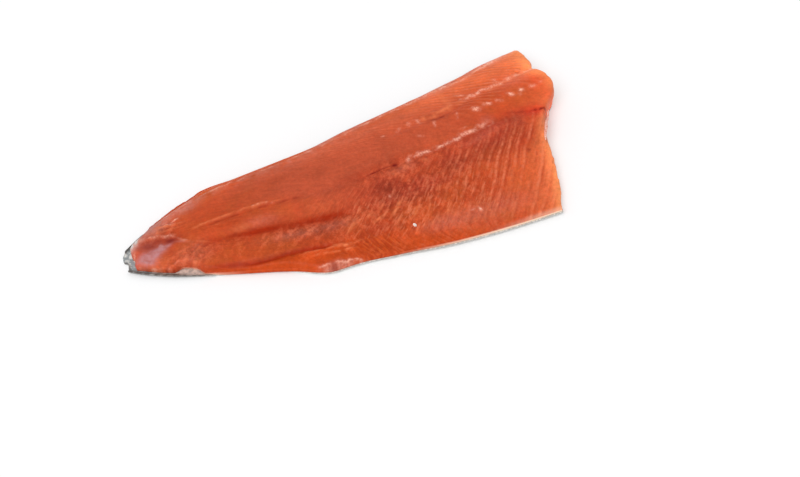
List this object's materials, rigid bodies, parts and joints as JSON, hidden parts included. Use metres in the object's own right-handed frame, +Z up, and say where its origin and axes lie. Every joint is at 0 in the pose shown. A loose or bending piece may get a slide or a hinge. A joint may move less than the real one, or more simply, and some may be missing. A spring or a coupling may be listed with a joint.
{
  "type": "salmon trout fillet",
  "caption": "Raw fish fillet lying on its skin, flesh side up, thick at the loin, thin at the belly, cut off behind the head and tapering to the tail.",
  "frame": {"origin": "middle of the bounding box at the surface that the fillet lies on", "axes": "+X from the tail to the head cut, +Y from the belly edge to the back edge, +Z up from the skin to the cut flesh"},
  "size_m": [0.3203, 0.1456, 0.0208],
  "materials": {
    "flesh": "wet orange-red raw fish muscle with pale lines between the flakes",
    "skin": "wet silvery fish skin, darker grey-green and spotted toward the back"
  },
  "bodies": {
    "root": {"flesh": "flesh", "skin": "skin"}
  },
  "joints": []
}
